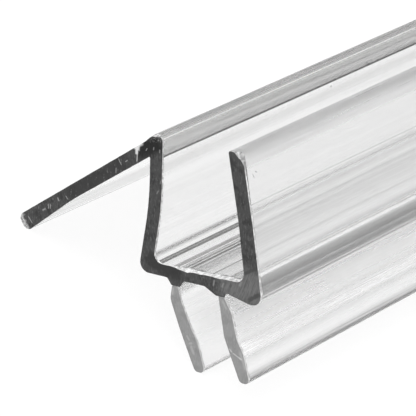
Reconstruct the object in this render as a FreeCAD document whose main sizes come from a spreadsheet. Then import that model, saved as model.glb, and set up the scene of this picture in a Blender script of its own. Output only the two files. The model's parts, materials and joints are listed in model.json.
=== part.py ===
"""Shower door seal strip: a clear rigid channel with a drip rail, and two soft clear fins under it.

The section is drawn upright, with the glass going in from above: X runs across the strip, from the
drip rail's side towards the free leg, and Z runs up, from the underside of the channel's floor.
The strip is then laid as it rests on a level floor, on the rail's lip and on the nearer fin.
Sizes are millimetres and angles are degrees.
"""
import FreeCAD, Part
import math
import os

import Sketcher

SIZES = {
    # the strip as it is cut
    "strip_length": 800.0,
    # the channel that grips the glass
    "floor_width": 10.8,
    "floor_wall": 1.25,
    "leg_height": 14.2,
    "bend_height": 7.2,
    "bend_radius": 25.0,
    "foot_radius": 0.95,
    # the leg that carries the rail
    "rail_leg_wall": 1.48,
    "rail_leg_lean": 1.18,
    "rail_leg_grip": 0.36,
    "heel_wall": 1.79,
    "heel_radius": 1.05,
    # the free leg, with the thicker toe below it
    "free_leg_wall": 1.64,
    "free_leg_lean": 0.6,
    "free_leg_grip": 1.07,
    "lead_in_radius": 1.1,
    "toe_wall": 2.07,
    "toe_drop": 1.13,
    "toe_step": 0.2,
    "toe_radius": 1.2,
    # the drip rail, which thickens to a lip, and the crest that it starts from
    "rail_length": 20.25,
    "rail_slope": 33.5,
    "rail_wall": 1.36,
    "root_wall": 1.55,
    "root_radius": 0.1,
    "rail_crest": 1.15,
    "crest_rise": 0.2,
    "crest_run": 1.2,
    "crest_radius": 0.57,
    "lip_length": 7.3,
    "lip_wall": 1.85,
    "lip_radius": 0.68,
    # the beads that the fins hang from, with a shelf beside each fin on the channel's inner side
    "inner_bead_inset": 2.56,
    "outer_bead_inset": 2.77,
    "bead_rim": 0.08,
    "bead_shelf": 0.28,
    "bead_drop": 0.68,
    "bead_flank": 0.5,
    "bead_ramp": 1.4,
    "bead_radius": 0.15,
    "edge_radius": 0.25,
    # the soft fins: how far below the bead each level lies, and how wide the fin is there
    "neck_width": 0.66,
    "neck_drop": 1.4,
    "blade_width": 1.3,
    "blade_drop": 4.0,
    "swell_width": 1.5,
    "pad_drop": 5.3,
    "pad_width": 1.7,
    "fin_drop": 8.35,
    "tip_width": 1.2,
    "tip_radius": 0.5,
    "swell_radius": 1.2,
    # how far the inner fin leans from upright between those levels
    "inner_neck_lean": 2.5,
    "inner_blade_lean": 21.9,
    "inner_swell_lean": 26.1,
    "inner_tip_lean": 18.8,
    # and the outer fin
    "outer_neck_lean": 20.5,
    "outer_blade_lean": 10.4,
    "outer_swell_lean": 25.1,
    "outer_tip_lean": 18.3,
}


def make_sheet(doc):
    """Writes each driving size in a cell of its own, under its own name."""
    sheet = doc.addObject("Spreadsheet::Sheet", "Size")
    for row, (name, value) in enumerate(SIZES.items(), start=1):
        sheet.set(f"A{row}", name)
        sheet.set(f"B{row}", str(value))
        sheet.setAlias(f"B{row}", name)
    doc.recompute()
    return sheet


def section_plane(body):
    """The upright plane across the strip, with X to the right and Z up."""
    for plane in body.Origin.OriginFeatures:
        if plane.Role == "XZ_Plane":
            return plane
    raise ValueError("the body has no section plane")


def draw_outline(doc, body, corners):
    """Draws a closed outline of straight edges, with a dimension from the origin to each corner."""
    sketch = body.newObject("Sketcher::SketchObject", body.Name + "_section")
    sketch.AttachmentSupport = [(section_plane(body), "")]
    sketch.MapMode = "FlatFace"
    count = len(corners)
    ring = []
    for index in range(count):
        turn = 2 * math.pi * index / count
        ring.append(FreeCAD.Vector(10 * math.cos(turn), 10 * math.sin(turn), 0))
    for index in range(count):
        sketch.addGeometry(Part.LineSegment(ring[index], ring[(index + 1) % count]), False)
    for index in range(count):
        sketch.addConstraint(Sketcher.Constraint("Coincident", index, 2, (index + 1) % count, 1))
    for index, (name, (across, up)) in enumerate(corners.items()):
        places = (("DistanceX", "_x", ring[index].x, across), ("DistanceY", "_z", ring[index].y, up))
        for kind, ending, start, formula in places:
            number = sketch.addConstraint(Sketcher.Constraint(kind, -1, 1, index, 1, start))
            sketch.renameConstraint(number, name + ending)
            sketch.setExpression("Constraints." + name + ending, formula)
    doc.recompute()
    return sketch


def corner_points(sketch, corners):
    """Where the outline's corners came to lie, by name."""
    return {name: sketch.Geometry[index].StartPoint for index, name in enumerate(corners)}


def round_outline(doc, sketch, corners, rounds):
    """Rounds the named corners in the sketch, each with an arc of the radius that its formula gives."""
    names = list(corners)
    points = corner_points(sketch, corners)
    radii = {}
    for radius, rounded in rounds:
        for name in rounded:
            after = names.index(name)
            before = (after - 1) % len(names)
            near_before = (points[names[before]] + points[name]) / 2
            near_after = (points[names[(after + 1) % len(names)]] + points[name]) / 2
            value = sketch.evalExpression(radius)
            arc = sketch.GeometryCount
            sketch.fillet(before, after, near_before, near_after, value, True, True)
            number = sketch.addConstraint(Sketcher.Constraint("Radius", arc, value))
            sketch.renameConstraint(number, name + "_radius")
            sketch.setExpression("Constraints." + name + "_radius", radius)
            radii[name] = value
    doc.recompute()
    return points, radii


def extrude(doc, body, sketch):
    """Runs the section along the strip, half of the length to each side."""
    pad = body.newObject("PartDesign::Pad", body.Name + "_run")
    pad.Profile = sketch
    pad.Midplane = True
    pad.setExpression("Length", "Size.strip_length")
    doc.recompute()


def channel_corners():
    """The rigid section, from the rail's lip over the channel and back under it."""
    foot = "Size.floor_width / 2"
    rail_bend = f"-({foot} - Size.rail_leg_lean)"
    rail_top = f"-({foot} - Size.rail_leg_lean - Size.rail_leg_grip)"
    free_bend = f"{foot} - Size.free_leg_lean"
    free_top = f"{foot} - Size.free_leg_lean - Size.free_leg_grip"
    crest = f"{rail_top} - Size.rail_crest"
    rail_start = "(Size.leg_height - Size.crest_rise)"
    lip = f"{crest} - Size.rail_length * cos(Size.rail_slope)"
    lip_height = f"{rail_start} - Size.rail_length * sin(Size.rail_slope)"
    root_drop = (
        "(Size.crest_rise + (Size.rail_leg_wall - Size.rail_crest) * tan(Size.rail_slope)"
        " + Size.root_wall / cos(Size.rail_slope))"
    )
    root_share = f"(1 - {root_drop} / (Size.leg_height - Size.bend_height))"
    inner_bead = f"-({foot} - Size.inner_bead_inset)"
    outer_bead = f"{foot} - Size.outer_bead_inset"
    rim = "(Size.neck_width / 2 + Size.bead_rim)"
    shelf = "(Size.neck_width / 2 + Size.bead_shelf)"
    lip_start_up = "Size.lip_length * sin(Size.rail_slope) - Size.rail_wall * cos(Size.rail_slope)"
    return {
        "lip_upper": (lip, lip_height),
        "crest_start": (
            f"{crest} - Size.crest_run * cos(Size.rail_slope)",
            f"{rail_start} - Size.crest_run * sin(Size.rail_slope)",
        ),
        "crest_rail": (crest, "Size.leg_height"),
        "crest_mouth": (rail_top, "Size.leg_height"),
        "rail_leg_bend": (rail_bend, "Size.bend_height"),
        "rail_leg_foot": (f"-{foot}", "Size.floor_wall"),
        "free_leg_foot": (foot, "Size.floor_wall"),
        "free_leg_bend": (free_bend, "Size.bend_height"),
        "free_leg_mouth": (free_top, "Size.leg_height"),
        "lead_in": (f"{free_top} + Size.free_leg_wall", "Size.leg_height"),
        "free_leg_back": (f"{free_bend} + Size.free_leg_wall", "Size.bend_height"),
        "toe": (f"{foot} + Size.toe_wall", "-Size.toe_drop"),
        "toe_start": (f"{outer_bead} + {rim} + Size.toe_step", "-Size.toe_step"),
        "outer_bead_right": (f"{outer_bead} + {rim}", "-Size.bead_drop"),
        "outer_bead_left": (f"{outer_bead} - {shelf}", "-Size.bead_drop"),
        "outer_bead_ramp": (f"{outer_bead} - {shelf} - Size.bead_ramp", "0"),
        "inner_bead_flank": (f"{inner_bead} + {shelf} + Size.bead_flank", "0"),
        "inner_bead_right": (f"{inner_bead} + {shelf}", "-Size.bead_drop"),
        "inner_bead_left": (f"{inner_bead} - {rim}", "-Size.bead_drop"),
        "inner_bead_start": (f"{inner_bead} - {rim} - Size.bead_flank", "0"),
        "heel": (f"-{foot} - Size.heel_wall", "0"),
        "rail_leg_back": (f"{rail_bend} - Size.rail_leg_wall", "Size.bend_height"),
        "rail_root": (
            f"{rail_bend} - Size.rail_leg_wall + Size.rail_leg_grip * {root_share}",
            f"Size.leg_height - {root_drop}",
        ),
        "lip_start": (
            f"{lip} + Size.lip_length * cos(Size.rail_slope) + Size.rail_wall * sin(Size.rail_slope)",
            f"{lip_height} + {lip_start_up}",
        ),
        "lip_lower": (
            f"{lip} + Size.lip_wall * sin(Size.rail_slope)",
            f"{lip_height} - Size.lip_wall * cos(Size.rail_slope)",
        ),
    }


CHANNEL_ROUNDS = (
    ("Size.bend_radius", ("rail_leg_bend", "free_leg_bend", "free_leg_back", "rail_leg_back", "lip_start")),
    ("Size.foot_radius", ("rail_leg_foot", "free_leg_foot")),
    ("Size.heel_radius", ("heel",)),
    ("Size.toe_radius", ("toe",)),
    ("min(Size.crest_radius; Size.rail_crest * 0.7)", ("crest_rail", "crest_mouth")),
    ("min(Size.lead_in_radius; Size.free_leg_wall * 0.73)", ("lead_in",)),
    ("min(Size.edge_radius; Size.free_leg_wall * 0.17)", ("free_leg_mouth",)),
    ("min(Size.lip_radius; Size.lip_wall * 0.42)", ("lip_upper", "lip_lower")),
    ("Size.crest_run * 2", ("crest_start",)),
    ("Size.root_radius", ("rail_root",)),
    ("Size.edge_radius", ("toe_start", "outer_bead_ramp", "inner_bead_flank", "inner_bead_start")),
    ("Size.bead_radius", ("outer_bead_right", "outer_bead_left", "inner_bead_right", "inner_bead_left")),
)


def make_channel(doc):
    """The channel, its drip rail and its beads, which are one rigid extrusion."""
    body = doc.addObject("PartDesign::Body", "channel")
    body.Label = "drip_rail_channel"
    corners = channel_corners()
    sketch = draw_outline(doc, body, corners)
    points, radii = round_outline(doc, sketch, corners, CHANNEL_ROUNDS)
    extrude(doc, body, sketch)
    lip_round = radii["lip_lower"]
    return body, round_centre(points, "lip_upper", "lip_lower", "lip_start", lip_round), lip_round


def fin_corners(root, fin):
    """A fin's section, down its rail side and back up, level by level.

    root is the middle of the bead, and fin is the word that the fin's own leans start with.
    """
    levels = (
        ("root", "0", "Size.neck_width", None),
        ("neck", "Size.neck_drop", "Size.blade_width", f"Size.{fin}_neck_lean"),
        ("blade", "Size.blade_drop", "Size.swell_width", f"Size.{fin}_blade_lean"),
        ("pad", "Size.pad_drop", "Size.pad_width", f"Size.{fin}_swell_lean"),
        ("tip", "Size.fin_drop", "Size.tip_width", f"Size.{fin}_tip_lean"),
    )
    down = {}
    back = {}
    across = root
    above = "0"
    for name, drop, width, lean in levels:
        if lean:
            across = f"{across} + ({drop} - {above}) * tan({lean})"
        above = drop
        down[name + "_left"] = (f"{across} - {width} / 2", f"-Size.bead_drop - {drop}")
        back[name + "_right"] = (f"{across} + {width} / 2", f"-Size.bead_drop - {drop}")
    return down | dict(reversed(back.items()))


FIN_ROUNDS = (
    ("Size.swell_radius", ("neck_left", "blade_left", "pad_left")),
    ("Size.swell_radius", ("neck_right", "blade_right", "pad_right")),
    ("min(Size.tip_radius; Size.tip_width * 0.42)", ("tip_left", "tip_right")),
)


def make_fin(doc, fin, root):
    """One soft fin, seated with its neck's flat top on the flat of its bead."""
    body = doc.addObject("PartDesign::Body", fin + "_fin")
    body.Label = fin + "_fin"
    corners = fin_corners(root, fin)
    sketch = draw_outline(doc, body, corners)
    points, radii = round_outline(doc, sketch, corners, FIN_ROUNDS)
    extrude(doc, body, sketch)
    tip_round = radii["tip_left"]
    return body, round_centre(points, "pad_left", "tip_left", "tip_right", tip_round), tip_round


def round_centre(points, before, corner, after, radius):
    """The centre of the arc that rounds a corner of the section."""
    here = points[corner]
    to_before = (points[before] - here).normalize()
    to_after = (points[after] - here).normalize()
    half_angle = to_before.getAngle(to_after) / 2
    inward = (to_before + to_after).normalize()
    return here + inward * (radius / math.sin(half_angle))


def lying_angle(lip, lip_round, tip, tip_round):
    """How far the upright section turns until the lip's and the fin tip's rounds are level."""
    across = tip.x - lip.x
    down = lip.y - tip.y
    return math.atan2(down, across) + math.asin((tip_round - lip_round) / math.hypot(across, down))


def lay_down(doc, bodies, angle):
    """Turns the bodies by the lying angle and centres them over the origin, on the floor."""
    turn = FreeCAD.Rotation(FreeCAD.Vector(0, 1, 0), -math.degrees(angle))
    for body in bodies:
        body.Placement = FreeCAD.Placement(FreeCAD.Vector(0, 0, 0), turn)
    doc.recompute()
    box = FreeCAD.BoundBox()
    for body in bodies:
        box.add(body.Shape.optimalBoundingBox())
    shift = FreeCAD.Vector(-(box.XMin + box.XMax) / 2, 0, -box.ZMin)
    for body in bodies:
        body.Placement = FreeCAD.Placement(shift, turn)
    doc.recompute()
    return shift


def check_document(doc, bodies):
    """Stops the script when an object failed or a piece is not one sound solid."""
    for item in doc.Objects:
        if "Invalid" in item.State or "Error" in item.State:
            raise ValueError(f"{item.Name} is {item.State}")
    for body in bodies:
        if body.Shape.isNull() or not body.Shape.isValid() or len(body.Shape.Solids) != 1:
            raise ValueError(f"{body.Label} is not one valid solid")


def main():
    doc = FreeCAD.newDocument("shower_door_seal")
    make_sheet(doc)
    channel, lip, lip_round = make_channel(doc)
    inner_fin, tip, tip_round = make_fin(doc, "inner", "-(Size.floor_width / 2 - Size.inner_bead_inset)")
    outer_fin = make_fin(doc, "outer", "Size.floor_width / 2 - Size.outer_bead_inset")[0]
    bodies = [channel, inner_fin, outer_fin]
    angle = lying_angle(lip, lip_round, tip, tip_round)
    shift = lay_down(doc, bodies, angle)
    check_document(doc, bodies)
    os.makedirs("parts", exist_ok=True)
    for body in bodies:
        body.Shape.exportStep(f"parts/{body.Label}.step")
        print(f"{body.Label}: {body.Shape.Volume / 1000:.2f} cm3")
    print(f"lying angle {math.degrees(angle):.4f} degrees, shift {shift.x:.4f}, {shift.z:.4f} mm")


main()
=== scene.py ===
"""The looks of a shower door seal strip: a clear rigid channel with a drip rail, and two soft clear fins.

The strip's section is drawn upright, in millimetres: U runs across it, from the drip rail's side towards
the free leg, and V runs up from the underside of the channel's floor. The strip runs along Y, and it is
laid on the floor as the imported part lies, on the rail's lip and on the inner fin.
"""
import json
import math
from types import SimpleNamespace

import bmesh
import bpy
from mathutils import Matrix, Vector, noise
from mathutils.geometry import intersect_point_line


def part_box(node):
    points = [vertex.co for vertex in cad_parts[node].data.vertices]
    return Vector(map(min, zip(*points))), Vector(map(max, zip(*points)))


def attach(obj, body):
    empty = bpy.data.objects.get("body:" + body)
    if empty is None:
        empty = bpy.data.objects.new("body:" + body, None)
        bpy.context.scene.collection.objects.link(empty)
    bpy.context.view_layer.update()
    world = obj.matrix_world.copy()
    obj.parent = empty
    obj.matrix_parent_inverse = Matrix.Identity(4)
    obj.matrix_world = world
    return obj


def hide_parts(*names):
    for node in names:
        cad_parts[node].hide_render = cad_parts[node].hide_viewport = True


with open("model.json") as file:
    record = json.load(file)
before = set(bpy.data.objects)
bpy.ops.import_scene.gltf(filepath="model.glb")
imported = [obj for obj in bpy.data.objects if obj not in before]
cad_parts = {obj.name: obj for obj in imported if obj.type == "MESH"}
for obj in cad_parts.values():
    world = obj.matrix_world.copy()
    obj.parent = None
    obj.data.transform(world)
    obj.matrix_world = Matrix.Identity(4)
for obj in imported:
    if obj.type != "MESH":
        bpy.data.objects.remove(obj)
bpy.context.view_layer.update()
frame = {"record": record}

MM = 0.001

# The section's sizes, in millimetres and degrees
CHANNEL = SimpleNamespace(
    floor_width=10.8, floor_wall=1.25, leg_height=14.2, bend_height=7.2, bend_radius=25.0, foot_radius=0.95,
    rail_leg_wall=1.48, rail_leg_lean=1.18, rail_leg_grip=0.36, heel_wall=1.79, heel_radius=1.05,
    free_leg_wall=1.64, free_leg_lean=0.6, free_leg_grip=1.07, lead_in_radius=1.1, mouth_radius=0.25,
    toe_wall=2.07, toe_drop=1.13, toe_step=0.2, toe_radius=1.2,
    rail_length=20.25, rail_slope=33.5, rail_wall=1.36, root_wall=1.55, rail_crest=1.15, crest_rise=0.2,
    crest_run=1.2, crest_radius=0.57, root_radius=0.1,
    lip_length=7.3, lip_wall=1.85, lip_radius=0.68,
    inner_bead_inset=2.56, outer_bead_inset=2.77, bead_rim=0.08, bead_shelf=0.28, bead_drop=0.68,
    bead_flank=0.5, bead_ramp=1.4, bead_radius=0.15, edge_radius=0.25,
)
FIN = SimpleNamespace(
    drops=(0.0, 1.4, 4.0, 5.3, 8.35),
    widths=(0.66, 1.3, 1.5, 1.7, 1.2),
    inner_leans=(2.5, 21.9, 26.1, 18.8),
    outer_leans=(20.5, 10.4, 25.1, 18.3),
    swell_radius=1.2,
    tip_radius=0.5,
    seat_gap=0.01,
)


def channel_section():
    """The rigid section's corners, as (U, V, radius), from the rail's lip over the channel and back."""
    c = CHANNEL
    slope = math.radians(c.rail_slope)
    along = Vector((math.cos(slope), math.sin(slope)))
    below = Vector((math.sin(slope), -math.cos(slope)))
    foot = c.floor_width / 2
    rail_bend = c.rail_leg_lean - foot
    rail_top = rail_bend + c.rail_leg_grip
    free_bend = foot - c.free_leg_lean
    free_top = free_bend - c.free_leg_grip
    crest = Vector((rail_top - c.rail_crest, c.leg_height - c.crest_rise))
    lip = crest - along * c.rail_length
    crest_start = crest - along * c.crest_run
    lip_start = lip + along * c.lip_length + below * c.rail_wall
    lip_lower = lip + below * c.lip_wall
    root_drop = (
        (c.rail_leg_wall - c.rail_crest) * math.tan(slope) + c.root_wall / math.cos(slope) + c.crest_rise)
    root_share = 1 - root_drop / (c.leg_height - c.bend_height)
    rail_root = (rail_bend - c.rail_leg_wall + c.rail_leg_grip * root_share, c.leg_height - root_drop)
    inner_bead = c.inner_bead_inset - foot
    outer_bead = foot - c.outer_bead_inset
    rim = FIN.widths[0] / 2 + c.bead_rim
    shelf = FIN.widths[0] / 2 + c.bead_shelf
    return [
        (*lip, c.lip_radius),
        (*crest_start, c.crest_run * 2),
        (crest.x, c.leg_height, c.crest_radius),
        (rail_top, c.leg_height, c.crest_radius),
        (rail_bend, c.bend_height, c.bend_radius),
        (-foot, c.floor_wall, c.foot_radius),
        (foot, c.floor_wall, c.foot_radius),
        (free_bend, c.bend_height, c.bend_radius),
        (free_top, c.leg_height, c.mouth_radius),
        (free_top + c.free_leg_wall, c.leg_height, c.lead_in_radius),
        (free_bend + c.free_leg_wall, c.bend_height, c.bend_radius),
        (foot + c.toe_wall, -c.toe_drop, c.toe_radius),
        (outer_bead + rim + c.toe_step, -c.toe_step, c.edge_radius),
        (outer_bead + rim, -c.bead_drop, c.bead_radius),
        (outer_bead - shelf, -c.bead_drop, c.bead_radius),
        (outer_bead - shelf - c.bead_ramp, 0.0, c.edge_radius),
        (inner_bead + shelf + c.bead_flank, 0.0, c.edge_radius),
        (inner_bead + shelf, -c.bead_drop, c.bead_radius),
        (inner_bead - rim, -c.bead_drop, c.bead_radius),
        (inner_bead - rim - c.bead_flank, 0.0, c.edge_radius),
        (-foot - c.heel_wall, 0.0, c.heel_radius),
        (rail_bend - c.rail_leg_wall, c.bend_height, c.bend_radius),
        (*rail_root, c.root_radius),
        (*lip_start, c.bend_radius),
        (*lip_lower, c.lip_radius),
    ]


def fin_section(root, leans):
    """A fin's corners, as (U, V, radius), down its rail side and back up. root is the bead's middle."""
    down = []
    back = []
    across = root
    last = len(FIN.drops) - 1
    for level, (drop, width) in enumerate(zip(FIN.drops, FIN.widths)):
        if level:
            across += (drop - FIN.drops[level - 1]) * math.tan(math.radians(leans[level - 1]))
        radius = {0: 0.0, last: FIN.tip_radius}.get(level, FIN.swell_radius)
        height = -CHANNEL.bead_drop - (drop if level else FIN.seat_gap)
        down.append((across - width / 2, height, radius))
        back.append((across + width / 2, height, radius))
    return down + back[::-1]


# How the section lies: turned as the glass channel's axis is, centred, and on the floor
opening_axis = Vector(next(m for m in frame["record"]["mounts"] if m["name"] == "glass_channel")["axis"])
TILT = math.atan2(-opening_axis.x, opening_axis.z)
near_end, far_end = (corner.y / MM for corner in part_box("drip_rail_channel"))

# A rounded corner's steps, in degrees, and the outline's longest straight stretch, in millimetres
ARC_STEP = 9.0
EDGE_STEP = 0.3

# The material slots of each piece
WALL, SAWN, RIM = 0, 1, 2

# The torn rim round a sawn face, in millimetres: how far it runs along the strip, how far the face draws
# in at it, and the least that it draws in
RIM_RUN = 0.2
RIM_DRAW = 0.015
LEAST_DRAW = 0.003
# How uneven the rim is, by a rough and a fine noise of these pitches per millimetre: shares of its draw, of
# its run, and of a chip
ROUGH_PITCH, FINE_PITCH = 1.9, 6.0
DRAW_SWING = 0.8
RUN_ROUGH, RUN_FINE = 0.5, 0.4
CHIP_ROUGH, CHIP_FINE = 0.35, 0.3
# The largest share of its run that the rim gives up
RUN_LOSS = 0.7
# What is added to a piece's seed for the fine part, and for the far end
FINE_SEED = 4.0
FAR_SEED = 20

# An edge between faces that turn by more than this, in degrees, is shaded sharp
SHARP_TURN = 24


def smooth_step(value):
    """0 below 0, 1 above 1, and a soft ramp between."""
    value = min(max(value, 0.0), 1.0)
    return value * value * (3 - 2 * value)


def nearness(place, u, v, reach):
    """1 within 0.4 of the reach from (U, V), 0 beyond 1.4 of it, and a soft ramp between."""
    return smooth_step(1.4 - (place - Vector((u, v))).length / reach)


def draw_section(mesh, corners):
    """A flat face on the near end, with its corners rounded."""
    points = [mesh.verts.new((u, near_end + RIM_RUN, v)) for u, v, radius in corners]
    mesh.faces.new(points)
    count = len(corners)
    turns = []
    for index in range(count):
        here = points[index].co
        before = (here - points[index - 1].co).normalized()
        after = (points[(index + 1) % count].co - here).normalized()
        turns.append(before.angle(after))
    for point, (u, v, radius), turn in zip(points, corners, turns):
        if radius:
            bmesh.ops.bevel(
                mesh, geom=[point], offset=radius * math.tan(turn / 2), offset_type="OFFSET",
                segments=max(3, math.ceil(math.degrees(turn) / ARC_STEP)), profile=0.5,
                affect="VERTICES", material=-1,
            )


def split_long_edges(mesh):
    """Cuts the section's straight stretches into short ones, so that the sawn edge can be uneven."""
    for edge in list(mesh.edges):
        cuts = math.ceil(edge.calc_length() / EDGE_STEP) - 1
        if cuts > 0:
            bmesh.ops.subdivide_edges(mesh, edges=[edge], cuts=cuts)


def extrude_cap(mesh, cap, run):
    """Extrudes a cap along Y, and gives back the new cap. Its points stand in the old cap's order."""
    made = bmesh.ops.extrude_face_region(mesh, geom=[cap])["geom"]
    moved = [item for item in made if isinstance(item, bmesh.types.BMVert)]
    bmesh.ops.translate(mesh, verts=moved, vec=(0, run, 0))
    return next(item for item in made if isinstance(item, bmesh.types.BMFace))


def outline_inward(points, index):
    """Which way the section's material lies from a point of its outline."""
    before = points[index - 1].co
    after = points[(index + 1) % len(points)].co
    run = Vector((after.x - before.x, after.z - before.z)).normalized()
    return Vector((run.y, 0, -run.x))


def saw_end(mesh, cap, outward, chips, seed):
    """Adds the last bit of the run, up to the sawn face, with a pale rim round it that is uneven.

    outward is which way along Y the end faces. A chip is (U, V, reach, draw, back): where it is, how wide
    it is, how far the sawn face draws in there, and how far the rim runs back along the strip.
    """
    sawn = extrude_cap(mesh, cap, outward * RIM_RUN)
    sawn.material_index = SAWN
    tips = [loop.vert for loop in sawn.loops]
    for tip in tips:
        for face in tip.link_faces:
            if face is not sawn:
                face.material_index = RIM
    sawn.normal_update()
    side = math.copysign(1, sawn.normal.y)
    inward = [outline_inward(tips, index) * side for index in range(len(tips))]
    for tip, direction in zip(tips, inward):
        root = next(
            edge.other_vert(tip) for edge in tip.link_edges
            if abs(edge.other_vert(tip).co.y - tip.co.y) > RIM_RUN / 4
        )
        place = Vector((tip.co.x, tip.co.z))
        rough = noise.noise(Vector((place.x * ROUGH_PITCH, place.y * ROUGH_PITCH, seed)))
        fine = noise.noise(Vector((place.x * FINE_PITCH, place.y * FINE_PITCH, seed + FINE_SEED)))
        draw = RIM_DRAW * (1 + DRAW_SWING * rough + DRAW_SWING * fine)
        back = RIM_RUN * (RUN_ROUGH * rough + RUN_FINE * fine)
        for chip_u, chip_v, reach, chip_draw, chip_back in chips:
            ragged = nearness(place, chip_u, chip_v, reach) * (1 + CHIP_FINE * fine + CHIP_ROUGH * rough)
            draw += chip_draw * ragged
            back += chip_back * ragged
        tip.co += direction * max(draw, LEAST_DRAW)
        root.co.y -= outward * max(back, -RUN_LOSS * RIM_RUN)


# The chips out of the channel's near and far ends, as saw_end takes them. The fins have none.
NEAR_CHIPS = {
    "channel": [
        (-4.7, 14.2, 0.5, 0.16, 0.2),
        (5.2, 13.9, 0.75, 0.26, 0.3),
        (7.4, 0.2, 1.4, 0.03, 0.1),
        (-1.8, 1.2, 0.8, 0.18, 0.2),
        (-0.4, 1.2, 1.1, 0.1, 0.4),
        (1.6, 1.2, 1.4, 0.1, 0.5),
        (3.6, 1.2, 1.2, 0.04, 0.7),
    ],
}
FAR_CHIPS = {
    "channel": [(-6.2, 13.0, 0.6, 0.2, 0.4), (2.0, 1.2, 1.2, 0.12, 0.5), (-20.0, 2.0, 1.0, 0.1, 0.4)],
}
# Where a wall is worn, and where painted shade and painted light lie on it, all along the strip: (U, V,
# reach, how dull, how much painted shade, how torn and how much painted light)
WEAR_AND_PAINTED_LIGHT = {
    "channel": [
        (4.2, 14.2, 0.5, 1.0, 0.0, 0.25), (5.0, 14.0, 0.6, 1.0, 0.0, 0.25),
        (5.4, 13.2, 0.6, 1.0, 0.0, 0.2),
        (-4.7, 14.2, 0.5, 0.6, 0.35, 0.0), (-4.1, 14.1, 0.3, 0.6, 0.3, 0.0),
        (7.33, 0.9, 0.7, 0.3, 0.9, 0.0), (7.4, -0.6, 0.5, 0.0, 0.0, 0.6), (6.5, 5.6, 3.4, 0.1, 0.0, 0.4),
    ],
    "inner_fin": [(0.4, -3.6, 2.0, 0.0, 0.0, 0.35)],
    "outer_fin": [
        (5.05, -5.6, 0.6, 0.0, 0.0, 1.0), (4.0, -3.0, 2.0, 0.0, 0.0, 0.35),
        (5.75, -8.3, 0.5, 0.0, 0.8, 0.0),
    ],
}
# Each piece's outline, as its points and how far round the section each is
OUTLINES = {}


def measure_around(mesh, cap, name):
    """Notes on each point of the outline how far round the section it is, how worn it is there, and how much
    painted shade and painted light it takes.
    """
    layer = mesh.verts.layers.float.new("around")
    wear_and_painted_light = mesh.verts.layers.float_vector.new("wear_and_painted_light")
    points = [loop.vert for loop in cap.loops]
    distance = 0.0
    OUTLINES[name] = []
    for index, point in enumerate(points):
        point[layer] = distance
        place = Vector((point.co.x, point.co.z))
        OUTLINES[name].append((place, distance))
        for u, v, reach, *amounts in WEAR_AND_PAINTED_LIGHT[name]:
            share = nearness(place, u, v, reach)
            point[wear_and_painted_light] = [max(old, share * amount) for old, amount in zip(point[wear_and_painted_light], amounts)]
        distance += (points[(index + 1) % len(points)].co - point.co).length
    return distance


def unwrap(mesh, girth):
    """Lays the walls out as (round the section, along the strip), and the sawn faces as (U, V)."""
    around = mesh.verts.layers.float["around"]
    layer = mesh.loops.layers.uv.new("strip")
    for face in mesh.faces:
        highest = max(loop.vert[around] for loop in face.loops)
        for loop in face.loops:
            place = loop.vert.co
            if face.material_index == SAWN:
                loop[layer].uv = (place.x, place.z)
            else:
                turn = loop.vert[around]
                loop[layer].uv = (turn + girth if highest - turn > girth / 2 else turn, place.y)


def make_strip(name, corners, seed):
    """One extruded piece: its section drawn, run along the strip, and sawn at both ends."""
    mesh = bmesh.new()
    draw_section(mesh, corners)
    split_long_edges(mesh)
    near_cap = mesh.faces[:][0]
    girth = measure_around(mesh, near_cap, name)
    far_cap = extrude_cap(mesh, near_cap, far_end - near_end - 2 * RIM_RUN)
    bmesh.ops.recalc_face_normals(mesh, faces=mesh.faces[:])
    saw_end(mesh, near_cap, -1, NEAR_CHIPS.get(name, ()), seed)
    saw_end(mesh, far_cap, 1, FAR_CHIPS.get(name, ()), seed + FAR_SEED)
    unwrap(mesh, girth)
    data = bpy.data.meshes.new(name)
    mesh.to_mesh(data)
    mesh.free()
    piece = bpy.data.objects.new(name, data)
    bpy.context.scene.collection.objects.link(piece)
    return piece


def lay_down(pieces):
    """Turns the pieces as the part lies, centres them and sets them on the floor."""
    turn = Matrix.Scale(MM, 4) @ Matrix.Rotation(-TILT, 4, "Y")
    for piece in pieces:
        piece.data.transform(turn)
    points = [vertex.co for piece in pieces for vertex in piece.data.vertices]
    left, right = min(p.x for p in points), max(p.x for p in points)
    shift = Vector((-(left + right) / 2, 0, -min(p.z for p in points)))
    for piece in pieces:
        piece.data.transform(Matrix.Translation(shift))
        for polygon in piece.data.polygons:
            polygon.use_smooth = polygon.material_index == WALL
        piece.data.set_sharp_from_angle(angle=math.radians(SHARP_TURN))
    return shift


channel = make_strip("channel", channel_section(), seed=1.0)
inner_root = CHANNEL.inner_bead_inset - CHANNEL.floor_width / 2
outer_root = CHANNEL.floor_width / 2 - CHANNEL.outer_bead_inset
inner_fin = make_strip("inner_fin", fin_section(inner_root, FIN.inner_leans), seed=5.0)
outer_fin = make_strip("outer_fin", fin_section(outer_root, FIN.outer_leans), seed=9.0)
shift = lay_down([channel, inner_fin, outer_fin])


def section_point(u, v, y):
    """A point of the upright section, in millimetres, as it lies in the scene."""
    return Matrix.Rotation(-TILT, 4, "Y") @ Vector((u, y, v)) * MM + shift


# Materials

# The greys, 0 to 255 as they look on screen, of a wall's painted shade, of a nick, and of a torn place and of
# painted light on a wall
SHADE_GREY, NICK_GREY, TORN_AND_PAINTED_LIGHT_GREY = 120, 90, 251
NICK_STRENGTH = 0.85
# How soon parts of a torn wall, and of its painted light, look whole as it is torn less, and a dull wall's
# rim takes its worn greys
TEAR_POWER = 2.5
WORN_GAIN = 1.6


def grey(level):
    """A neutral colour from the grey, 0 to 255, that it looks on screen."""
    share = level / 255
    linear = share / 12.92 if share <= 0.04045 else ((share + 0.055) / 1.055) ** 2.4
    return (linear, linear, linear, 1.0)


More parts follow.
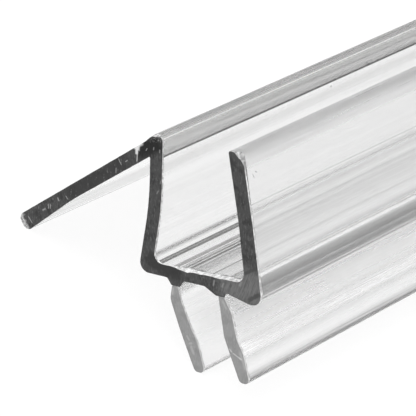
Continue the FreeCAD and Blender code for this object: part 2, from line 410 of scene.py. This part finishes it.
def node(tree, kind, inputs=(), **settings):
    """Adds a node, sets its options, and fills its sockets with values or with links."""
    made = tree.nodes.new(kind)
    for name, value in settings.items():
        setattr(made, name, value)
    for socket, value in dict(inputs).items():
        if isinstance(value, bpy.types.NodeSocket):
            tree.links.new(value, made.inputs[socket])
        else:
            made.inputs[socket].default_value = value
    return made


def new_material(name):
    material = bpy.data.materials.new(name)
    material.use_nodes = True
    material.node_tree.nodes.clear()
    return material, material.node_tree


def new_group(name, inputs, outputs):
    """An empty node group whose sockets are (name, type) pairs."""
    group = bpy.data.node_groups.new(name, "ShaderNodeTree")
    for label, kind in inputs:
        group.interface.new_socket(label, in_out="INPUT", socket_type="NodeSocket" + kind)
    for label, kind in outputs:
        group.interface.new_socket(label, in_out="OUTPUT", socket_type="NodeSocket" + kind)
    return group, group.nodes.new("NodeGroupInput").outputs, group.nodes.new("NodeGroupOutput").inputs


def strip_place(tree):
    """The piece's own map: (U, V) on a sawn face, (round the section, along the strip) on a wall."""
    return node(tree, "ShaderNodeUVMap", uv_map="strip").outputs["UV"]


def stretched_noise(tree, place, stretch, detail=3.0, roughness=0.6):
    """Noise on a place that is first stretched by the given factors, so that its grain runs one way."""
    scaled = node(tree, "ShaderNodeVectorMath", {0: place, 1: (*stretch, 1.0)}, operation="MULTIPLY")
    return node(tree, "ShaderNodeTexNoise", {
        "Vector": scaled.outputs[0], "Scale": 1.0, "Detail": detail, "Roughness": roughness,
    }, noise_dimensions="2D").outputs["Fac"]


def ramp(tree, value, low, high, bottom=0.0, top=1.0):
    """Maps low..high to bottom..top, softly and held at both ends."""
    return node(tree, "ShaderNodeMapRange", {
        "Value": value, "From Min": low, "From Max": high, "To Min": bottom, "To Max": top,
    }, interpolation_type="SMOOTHSTEP").outputs[0]


def multiply(tree, first, second):
    return node(tree, "ShaderNodeMath", {0: first, 1: second}, operation="MULTIPLY").outputs[0]


def blend(tree, below, above, mask):
    """Lays one colour over another where the mask is 1."""
    return node(tree, "ShaderNodeMix", {"Factor": mask, 6: below, 7: above}, data_type="RGBA").outputs[2]


def make_saw_mark():
    """One mark on a sawn face: a soft-edged stroke with ragged sides."""
    group, given, result = new_group(
        "saw_mark",
        [("Place", "Vector"), ("Centre", "Vector"), ("Angle", "Float"), ("Length", "Float"),
         ("Width", "Float"), ("Ragged", "Float")],
        [("Mask", "Float")],
    )
    wander = node(group, "ShaderNodeTexNoise", {"Vector": given["Place"], "Scale": 3.1, "Detail": 2.0})
    push = node(group, "ShaderNodeVectorMath", {
        0: wander.outputs["Color"], 1: (0.5, 0.5, 0.5)}, operation="SUBTRACT")
    pushed = node(group, "ShaderNodeVectorMath", {
        0: push.outputs[0], "Scale": given["Ragged"]}, operation="SCALE")
    moved = node(group, "ShaderNodeVectorMath", {0: given["Place"], 1: pushed.outputs[0]}, operation="ADD")
    apart = node(group, "ShaderNodeVectorMath", {
        0: moved.outputs[0], 1: given["Centre"]}, operation="SUBTRACT")
    turned = node(group, "ShaderNodeVectorRotate", {
        "Vector": apart.outputs[0], "Angle": given["Angle"]}, rotation_type="Z_AXIS", invert=True)
    sides = node(group, "ShaderNodeSeparateXYZ", {0: turned.outputs[0]})
    shares = []
    for axis, reach, core in (("X", "Length", 0.55), ("Y", "Width", 0.35)):
        size = node(group, "ShaderNodeMath", {0: sides.outputs[axis]}, operation="ABSOLUTE").outputs[0]
        inside = multiply(group, given[reach], core)
        shares.append(ramp(group, size, inside, given[reach], 1.0, 0.0))
    group.links.new(multiply(group, *shares), result["Mask"])
    return group


saw_mark = make_saw_mark()


def stroke(tree, place, u, v, degrees, length, width, ragged):
    """1 on a mark: where its middle is, which way it runs, its half length and width, and how ragged."""
    return node(tree, "ShaderNodeGroup", {
        "Place": place, "Centre": (u, v, 0), "Angle": math.radians(degrees),
        "Length": length, "Width": width, "Ragged": ragged,
    }, node_tree=saw_mark).outputs[0]


def add_marks(tree, place, colour, level, strength, marks):
    """Lays strokes of one grey on a colour. Each mark holds what stroke takes after the place."""
    for mark in marks:
        colour = blend(tree, colour, grey(level), multiply(tree, stroke(tree, place, *mark), strength))
    return colour


def sawn_plastic(name, levels, roughness, draw_marks):
    """A matt, opaque sawn face whose greys are painted shade for the dark that the clear strip shows at its
    end: mottled between two greys, with the saw's grain, and marks laid on by draw_marks.
    """
    material, tree = new_material(name)
    place = strip_place(tree)
    dark, middle, light = levels
    cloud = stretched_noise(tree, place, (0.9, 0.9), 4.0)
    grain = stretched_noise(tree, place, (6.0, 1.8), 4.0, 0.75)
    colour = blend(tree, grey(dark), grey(middle), ramp(tree, cloud, 0.36, 0.56))
    colour = blend(tree, colour, grey(light), ramp(tree, grain, 0.5, 0.68, 0.0, 0.8))
    colour = draw_marks(tree, place, colour)
    relief = node(tree, "ShaderNodeBump", {"Height": grain, "Distance": 0.06 * MM, "Strength": 0.5})
    shader = node(tree, "ShaderNodeBsdfPrincipled", {
        "Base Color": colour, "Roughness": roughness, "Specular IOR Level": 0.15,
        "Normal": relief.outputs[0]})
    node(tree, "ShaderNodeOutputMaterial", {"Surface": shader.outputs["BSDF"]})
    return material


def rigid_marks(tree, place, colour):
    """Marks on the channel's end: darker patches at the channel's inner corner, along the rail and at the
    rail's root, the saw's tool lines, a crack and flecks.
    """
    # Darker patches at the channel's inner corner, along the rail and at the rail's root
    colour = add_marks(tree, place, colour, 50, 0.9, [
        (-4.1, 1.1, -12, 2.6, 1.2, 0.7),
    ])
    colour = add_marks(tree, place, colour, 52, 0.75, [(-12.0, 8.5, 33, 6.0, 1.2, 0.8)])
    colour = add_marks(tree, place, colour, 28, 0.9, [(-5.7, 12.9, 28, 2.1, 1.35, 0.5)])
    slanted = node(tree, "ShaderNodeVectorRotate", {
        "Vector": place, "Angle": math.radians(22)}, rotation_type="Z_AXIS").outputs[0]
    lines = stretched_noise(tree, slanted, (7.0, 0.8), 3.0)
    on_toe = stroke(tree, place, 5.3, 0.9, 0.0, 3.6, 2.6, 1.2)
    tool_lines = multiply(tree, ramp(tree, lines, 0.3, 0.66, 0.45, 1.0), on_toe)
    colour = blend(tree, colour, grey(106), tool_lines)
    colour = add_marks(tree, place, colour, 66, 0.85, [
        (6.1, 2.65, 30, 1.25, 0.26, 0.12), (6.5, 0.1, 34, 1.1, 0.3, 0.2),
    ])
    colour = add_marks(tree, place, colour, 128, 0.75, [
        (1.81, 0.59, 78, 0.42, 0.13, 0.15), (2.84, 0.58, 70, 0.34, 0.12, 0.15),
        (4.91, 1.12, 60, 0.36, 0.14, 0.2),
        (-4.28, 12.65, 88, 0.22, 0.09, 0.1), (-5.0, 12.8, 80, 0.2, 0.08, 0.1),
        (-4.27, 9.55, 80, 0.25, 0.07, 0.1), (-4.65, 8.45, 60, 0.3, 0.08, 0.15),
    ])
    scratches = stretched_noise(tree, place, (3.4, 1.1), 3.0, 0.75)
    on_rail = stroke(tree, place, -14.0, 7.4, CHANNEL.rail_slope, 9.6, 1.2, 0.3)
    colour = blend(tree, colour, grey(118), multiply(tree, ramp(tree, scratches, 0.6, 0.76), on_rail))
    colour = add_marks(tree, place, colour, 150, 0.8, [
        (-9.08, 10.72, -58, 0.42, 0.07, 0.1), (-8.3, 10.95, 40, 0.22, 0.07, 0.15),
        (-9.58, 9.75, 88, 0.36, 0.06, 0.1), (-15.7, 5.8, -40, 0.26, 0.07, 0.2),
        (-18.6, 4.05, 30, 0.26, 0.1, 0.2), (-20.4, 2.65, -52, 0.5, 0.07, 0.06),
        (-5.85, 12.55, 60, 0.2, 0.07, 0.1), (-16.78, 5.46, -62, 0.26, 0.09, 0.15),
        (-17.8, 4.52, 84, 0.3, 0.07, 0.2), (-18.05, 4.5, 80, 0.3, 0.07, 0.2),
    ])
    speckle = stretched_noise(tree, place, (9.0, 9.0), 2.0, 0.7)
    on_hump = stroke(tree, place, -4.85, 13.95, 8, 1.6, 0.6, 0.5)
    colour = blend(tree, colour, grey(140), multiply(tree, ramp(tree, speckle, 0.54, 0.68), on_hump))
    on_lip = stroke(tree, place, -21.34, 2.2, -56, 1.4, 0.56, 0.3)
    torn_lip = multiply(tree, ramp(tree, speckle, 0.4, 0.6, 0.2, 1.0), on_lip)
    colour = blend(tree, colour, grey(218), torn_lip)
    colour = add_marks(tree, place, colour, 190, 0.8, [(-21.75, 2.8, 33, 0.7, 0.35, 0.25)])
    colour = add_marks(tree, place, colour, 120, 0.75, [
        (-21.42, 2.42, -56, 0.4, 0.15, 0.25), (-20.95, 1.85, -60, 0.3, 0.12, 0.2),
        (-21.2, 3.0, 30, 0.25, 0.1, 0.15),
    ])
    return add_marks(tree, place, colour, 212, 0.9, [
        (-6.93, 12.95, 32, 0.8, 0.5, 0.15), (-6.96, 12.6, 84, 0.4, 0.4, 0.12),
        (-7.02, 12.25, 84, 0.5, 0.22, 0.1), (-7.0, 11.6, 86, 0.62, 0.05, 0.06),
    ])


def soft_marks(tree, place, colour):
    """What the saw left on a fin's end: pale bruises, and a pale torn line low on the outer one."""
    colour = add_marks(tree, place, colour, 166, 0.7, [
        (-1.4, -5.7, -60, 0.35, 0.12, 0.2), (-1.1, -6.2, 20, 0.3, 0.12, 0.2),
        (-0.9, -6.85, -70, 0.6, 0.2, 0.3), (-3.1, -1.3, 80, 0.5, 0.14, 0.2),
        (0.0, -6.6, -69, 1.6, 0.22, 0.15), (5.05, -6.7, -69, 1.2, 0.2, 0.12),
        (3.0, -1.4, -60, 0.6, 0.16, 0.2),
    ])
    return add_marks(tree, place, colour, 196, 0.8, [
        (3.66, -5.93, -40, 0.26, 0.09, 0.08), (4.25, -6.3, -22, 0.5, 0.07, 0.1),
        (4.75, -6.52, -30, 0.24, 0.12, 0.1),
    ])


def die_lines(tree, place, fineness, depth):
    """Lengthwise lines that the die leaves on a wall, as a bump."""
    broad = stretched_noise(tree, place, (fineness * 0.35, 0.004), 2.0)
    fine = stretched_noise(tree, place, (fineness, 0.02), 3.0, 0.7)
    both = node(tree, "ShaderNodeMath", {0: broad, 1: fine}, operation="ADD").outputs[0]
    return node(tree, "ShaderNodeBump", {"Height": both, "Distance": depth * MM, "Strength": 1.0}).outputs[0]


def around_at(name, u, v):
    """How far round a piece's section the outline's nearest point to (U, V) is."""
    here = Vector((u, v))
    spots = OUTLINES[name]
    found = []
    for (start, begin), (end, finish) in zip(spots, spots[1:]):
        share = min(max(intersect_point_line(here, start, end)[1], 0.0), 1.0)
        found.append(((start.lerp(end, share) - here).length, begin + (finish - begin) * share))
    return min(found)[1]


def wall_line(tree, place, around, half_width):
    """1 on a line that runs along the strip, at one place round the section."""
    apart = node(tree, "ShaderNodeMath", {
        0: node(tree, "ShaderNodeSeparateXYZ", {0: place}).outputs["X"], 1: around}, operation="SUBTRACT")
    size = node(tree, "ShaderNodeMath", {0: apart.outputs[0]}, operation="ABSOLUTE").outputs[0]
    return ramp(tree, size, 0.3 * half_width, half_width, 1.0, 0.0)


# Dark lines of painted shade that run all along the channel's walls, where the clear walls show dark lines:
# (U, V, half width, grey, strength)
PAINTED_SHADE_LINES = [
    (-3.96, 12.12, 0.17, 34, 1.0),
    (-5.32, 1.96, 0.45, 110, 0.55),
    (-1.80, 1.25, 0.12, 50, 0.95), (-1.34, 1.25, 0.12, 50, 0.95), (1.37, 1.25, 0.12, 60, 0.9),
    (6.3, 9.2, 0.08, 100, 0.5), (6.35, 8.55, 0.07, 100, 0.45), (6.44, 7.0, 0.16, 90, 0.6),
    (6.5, 6.4, 0.1, 90, 0.6), (6.8, 4.4, 0.12, 90, 0.6),
]
# A painted highlight along the rounded corner at the rail leg's top: (U, V, half width, strength)
PAINTED_HIGHLIGHT_LINES = [(-3.88, 13.92, 0.05, 0.85)]
# Small nicks on the channel's walls: (U, V, along the strip, degrees, half length, half width), and how
# ragged they all are
NICK_RAGGED = 0.1
WALL_NICKS = [
    (-4.02, 12.35, 35.1, 60, 0.5, 0.12), (-4.02, 11.6, 28.5, 0, 0.14, 0.14),
    (6.4, 12.1, 1.66, 60, 0.22, 0.07), (6.4, 11.8, 1.2, 20, 0.3, 0.06), (6.6, 4.9, 20.3, 80, 0.5, 0.06),
]


def clear_plastic(name, roughness, ior, loss, fineness, depth, painted_shade_lines=(), painted_highlight_lines=(), nicks=()):
    """A clear plastic that loses the given share of its light in a millimetre.

    roughness is its least and its most, and fineness and depth are what die_lines takes. The piece's wear and
    painted light say where a wall is dull, where it has painted shade, and where it is torn and where it has
    painted light, both of which lay a pale matt grey on it. Lines of painted shade and of painted highlight,
    and nicks, are only for the channel.
    """
    material, tree = new_material(name)
    place = strip_place(tree)
    wear_and_painted_light = node(tree, "ShaderNodeAttribute", attribute_name="wear_and_painted_light").outputs["Vector"]
    dull, shaded, torn_and_painted_light = node(tree, "ShaderNodeSeparateXYZ", {0: wear_and_painted_light}).outputs
    plain = ramp(tree, stretched_noise(tree, place, (1.1, 0.03), 3.0), 0.35, 0.75, *roughness)
    streaks = stretched_noise(tree, place, (6.0, 0.06), 3.0, 0.7)
    scuffed = ramp(tree, streaks, 0.3, 0.7, 0.3, 0.65)
    matt = node(tree, "ShaderNodeMix", {"Factor": dull, "A": plain, "B": scuffed}).outputs[0]
    # Painted shade: the wall darkens towards a grey where its zones have painted shade, in streaks
    shade = multiply(tree, shaded, ramp(tree, streaks, 0.3, 0.65, 0.5, 1.0))
    colour = blend(tree, (1, 1, 1, 1), grey(SHADE_GREY), shade)
    # Lines of painted shade along the wall
    for u, v, half_width, level, strength in painted_shade_lines:
        line = wall_line(tree, place, around_at("channel", u, v), half_width)
        colour = blend(tree, colour, grey(level), multiply(tree, line, strength))
    colour = add_marks(tree, place, colour, NICK_GREY, NICK_STRENGTH, [
        (around_at("channel", u, v), near_end + along, *size, NICK_RAGGED) for u, v, along, *size in nicks])
    clear = node(tree, "ShaderNodeBsdfPrincipled", {
        "Base Color": colour, "Roughness": matt, "IOR": ior,
        "Transmission Weight": 1.0, "Normal": die_lines(tree, place, fineness, depth),
    }).outputs["BSDF"]
    # A pale matt grey over the clear wall where it is torn, as painted light, and along the painted highlight
    # lines
    tears = stretched_noise(tree, place, (8.0, 0.11), 3.0, 0.65)
    deep = node(tree, "ShaderNodeMath", {0: torn_and_painted_light, 1: TEAR_POWER}, operation="POWER").outputs[0]
    whole = multiply(tree, deep, ramp(tree, tears, 0.5, 0.58, 0.8, 0.0))
    broken = node(tree, "ShaderNodeMath", {0: 1.0, 1: whole}, operation="SUBTRACT").outputs[0]
    pale_and_painted_light = multiply(tree, torn_and_painted_light, broken)
    for u, v, half_width, strength in painted_highlight_lines:
        line = multiply(tree, wall_line(tree, place, around_at("channel", u, v), half_width), strength)
        pale_and_painted_light = node(tree, "ShaderNodeMath", {0: pale_and_painted_light, 1: line}, operation="MAXIMUM").outputs[0]
    scar_and_painted_light = node(tree, "ShaderNodeBsdfPrincipled", {
        "Base Color": grey(TORN_AND_PAINTED_LIGHT_GREY), "Roughness": 0.6}).outputs["BSDF"]
    both = node(tree, "ShaderNodeMixShader", {0: pale_and_painted_light, 1: clear, 2: scar_and_painted_light}).outputs[0]
    # A volume takes its density times one minus its colour: half of it here, and a little more in blue
    haze = node(tree, "ShaderNodeVolumeAbsorption", {"Color": (0.5, 0.5, 0.49, 1), "Density": 2 * loss / MM})
    node(tree, "ShaderNodeOutputMaterial", {"Surface": both, "Volume": haze.outputs[0]})
    return material


def pale_rim_with_highlight(name, fresh, worn):
    """The torn edge that the saw leaves, with a painted highlight along the sawn edge: between two greys, and
    between two others where the wall is worn.
    """
    material, tree = new_material(name)
    tear = stretched_noise(tree, strip_place(tree), (2.4, 2.4), 3.0)
    wear_and_painted_light = node(tree, "ShaderNodeAttribute", attribute_name="wear_and_painted_light").outputs["Vector"]
    dull = node(tree, "ShaderNodeSeparateXYZ", {0: wear_and_painted_light}).outputs["X"]
    share = node(tree, "ShaderNodeMath", {0: dull, 1: WORN_GAIN}, operation="MULTIPLY", use_clamp=True)
    mottle = ramp(tree, tear, 0.35, 0.65)
    pale_and_painted_light, greyer = (blend(tree, grey(low), grey(high), mottle) for low, high in (fresh, worn))
    colour = blend(tree, pale_and_painted_light, greyer, share.outputs[0])
    shader = node(tree, "ShaderNodeBsdfPrincipled", {"Base Color": colour, "Roughness": 0.5})
    node(tree, "ShaderNodeOutputMaterial", {"Surface": shader.outputs["BSDF"]})
    return material


rigid_wall = clear_plastic(
    "clear_rigid_plastic", roughness=(0.03, 0.1), ior=1.58, loss=0.013, fineness=3.0, depth=0.0015,
    painted_shade_lines=PAINTED_SHADE_LINES, painted_highlight_lines=PAINTED_HIGHLIGHT_LINES, nicks=WALL_NICKS)
soft_wall = clear_plastic(
    "clear_soft_plastic", roughness=(0.2, 0.32), ior=1.5, loss=0.004, fineness=2.2, depth=0.0008)
# The sawn faces are opaque, and their greys are painted shade, the rigid one darker than the soft one
rigid_sawn = sawn_plastic(
    "sawn_rigid_plastic", levels=(52, 66, 92), roughness=0.6, draw_marks=rigid_marks)
soft_sawn = sawn_plastic(
    "sawn_soft_plastic", levels=(132, 139, 152), roughness=0.6, draw_marks=soft_marks)
# The rims' pale greys are the torn edge and a painted highlight along each sawn edge
rigid_rim_with_highlight = pale_rim_with_highlight("sawn_rigid_rim_with_highlight", fresh=(182, 240), worn=(128, 205))
soft_rim_with_highlight = pale_rim_with_highlight("sawn_soft_rim_with_highlight", fresh=(192, 220), worn=(192, 220))

for piece, materials, slot_name in (
    (channel, (rigid_wall, rigid_sawn, rigid_rim_with_highlight), "clear_rigid_plastic"),
    (inner_fin, (soft_wall, soft_sawn, soft_rim_with_highlight), "clear_soft_plastic"),
    (outer_fin, (soft_wall, soft_sawn, soft_rim_with_highlight), "clear_soft_plastic"),
):
    for material in materials:
        piece.data.materials.append(material)
    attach(piece, "root")

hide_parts("drip_rail_channel")
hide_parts("inner_fin")
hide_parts("outer_fin")


# Floor, light and camera

# How bright the studio is that the clear plastic mirrors and bends: it grows towards the upper right, from
# the first to the second place on the way there
ROOM_DIM, ROOM_BRIGHT = 0.2, 0.9
ROOM_LEAN = (0.8, 0.0, 0.6)
ROOM_RAMP = (-0.2, 0.9)

# The floor's half size in metres, its paper's grey, and the glow that whitens it
FLOOR_REACH = 30.0
FLOOR_PAPER = 0.12
FLOOR_GLOW = 0.9


def seen_rays(tree):
    """1 for camera, glossy and transmission rays, and 0 for the rays that light the object."""
    path = node(tree, "ShaderNodeLightPath")
    both = node(tree, "ShaderNodeMath", {
        0: path.outputs["Is Camera Ray"], 1: path.outputs["Is Glossy Ray"]})
    return node(tree, "ShaderNodeMath", {
        0: both.outputs[0], 1: path.outputs["Is Transmission Ray"]}, use_clamp=True).outputs[0]


def make_floor():
    mesh = bmesh.new()
    bmesh.ops.create_grid(mesh, x_segments=1, y_segments=1, size=FLOOR_REACH)
    data = bpy.data.meshes.new("floor")
    mesh.to_mesh(data)
    mesh.free()
    floor = bpy.data.objects.new("floor", data)
    bpy.context.scene.collection.objects.link(floor)
    material, tree = new_material("pale_floor")
    paper = node(tree, "ShaderNodeBsdfDiffuse", {"Color": (FLOOR_PAPER, FLOOR_PAPER, FLOOR_PAPER, 1)})
    glow = node(tree, "ShaderNodeEmission", {
        "Color": (FLOOR_GLOW, FLOOR_GLOW, FLOOR_GLOW, 1), "Strength": 1.0})
    both = node(tree, "ShaderNodeAddShader", {0: paper.outputs[0], 1: glow.outputs[0]})
    node(tree, "ShaderNodeOutputMaterial", {"Surface": both.outputs[0]})
    floor.data.materials.append(material)


def make_world():
    world = bpy.data.worlds.new("studio")
    world.use_nodes = True
    tree = world.node_tree
    tree.nodes.clear()
    path = node(tree, "ShaderNodeLightPath")
    place = node(tree, "ShaderNodeTexCoord")
    toward = node(tree, "ShaderNodeVectorMath", {0: place.outputs["Generated"], 1: ROOM_LEAN},
                  operation="DOT_PRODUCT").outputs["Value"]
    room = ramp(tree, toward, *ROOM_RAMP, ROOM_DIM, ROOM_BRIGHT)
    shown = node(tree, "ShaderNodeMix", {"Factor": path.outputs["Is Camera Ray"], "A": room, "B": 1.0})
    level = node(tree, "ShaderNodeMix", {"Factor": seen_rays(tree), "A": 1.0, "B": shown.outputs[0]})
    sky = node(tree, "ShaderNodeBackground", {"Color": (1, 1, 1, 1), "Strength": level.outputs[0]})
    node(tree, "ShaderNodeOutputWorld", {"Surface": sky.outputs[0]})
    bpy.context.scene.world = world


def make_lamp(name, place, aim, size, power):
    lamp = bpy.data.lights.new(name, "AREA")
    lamp.size = size
    lamp.energy = power
    holder = bpy.data.objects.new(name, lamp)
    holder.location = place
    holder.rotation_euler = (Vector(aim) - Vector(place)).to_track_quat("-Z", "Y").to_euler()
    bpy.context.scene.collection.objects.link(holder)


# The camera: what it aims at on the near sawn end, and from where, in millimetres and degrees
AIM_U, AIM_V = 1.275, 8.030
DISTANCE = 347.72
AZIMUTH, ELEVATION, ROLL = 24.233, 33.500, 25.426
VIEW_ANGLE = 6.465


def make_camera():
    azimuth, elevation = math.radians(AZIMUTH), math.radians(ELEVATION)
    back = Vector((
        math.sin(azimuth) * math.cos(elevation),
        -math.cos(azimuth) * math.cos(elevation),
        math.sin(elevation),
    ))
    data = bpy.data.cameras.new("camera")
    data.angle = math.radians(VIEW_ANGLE)
    data.clip_start = 0.01
    camera = bpy.data.objects.new("camera", data)
    camera.location = section_point(AIM_U, AIM_V, near_end) + back * DISTANCE * MM
    level = (-back).to_track_quat("-Z", "Y").to_matrix()
    camera.rotation_euler = (level @ Matrix.Rotation(math.radians(ROLL), 3, "Z")).to_euler()
    bpy.context.scene.collection.objects.link(camera)
    bpy.context.scene.camera = camera


make_floor()
make_world()
make_lamp("soft_box", place=(-0.6, -0.9, 1.3), aim=(0, -0.4, 0), size=1.2, power=12.0)
make_camera()
bpy.context.scene.view_settings.view_transform = "Standard"
# Enough bounces for light that runs along inside the clear walls
bpy.context.scene.cycles.max_bounces = 48
bpy.context.scene.cycles.transmission_bounces = 48
bpy.context.scene.cycles.glossy_bounces = 24
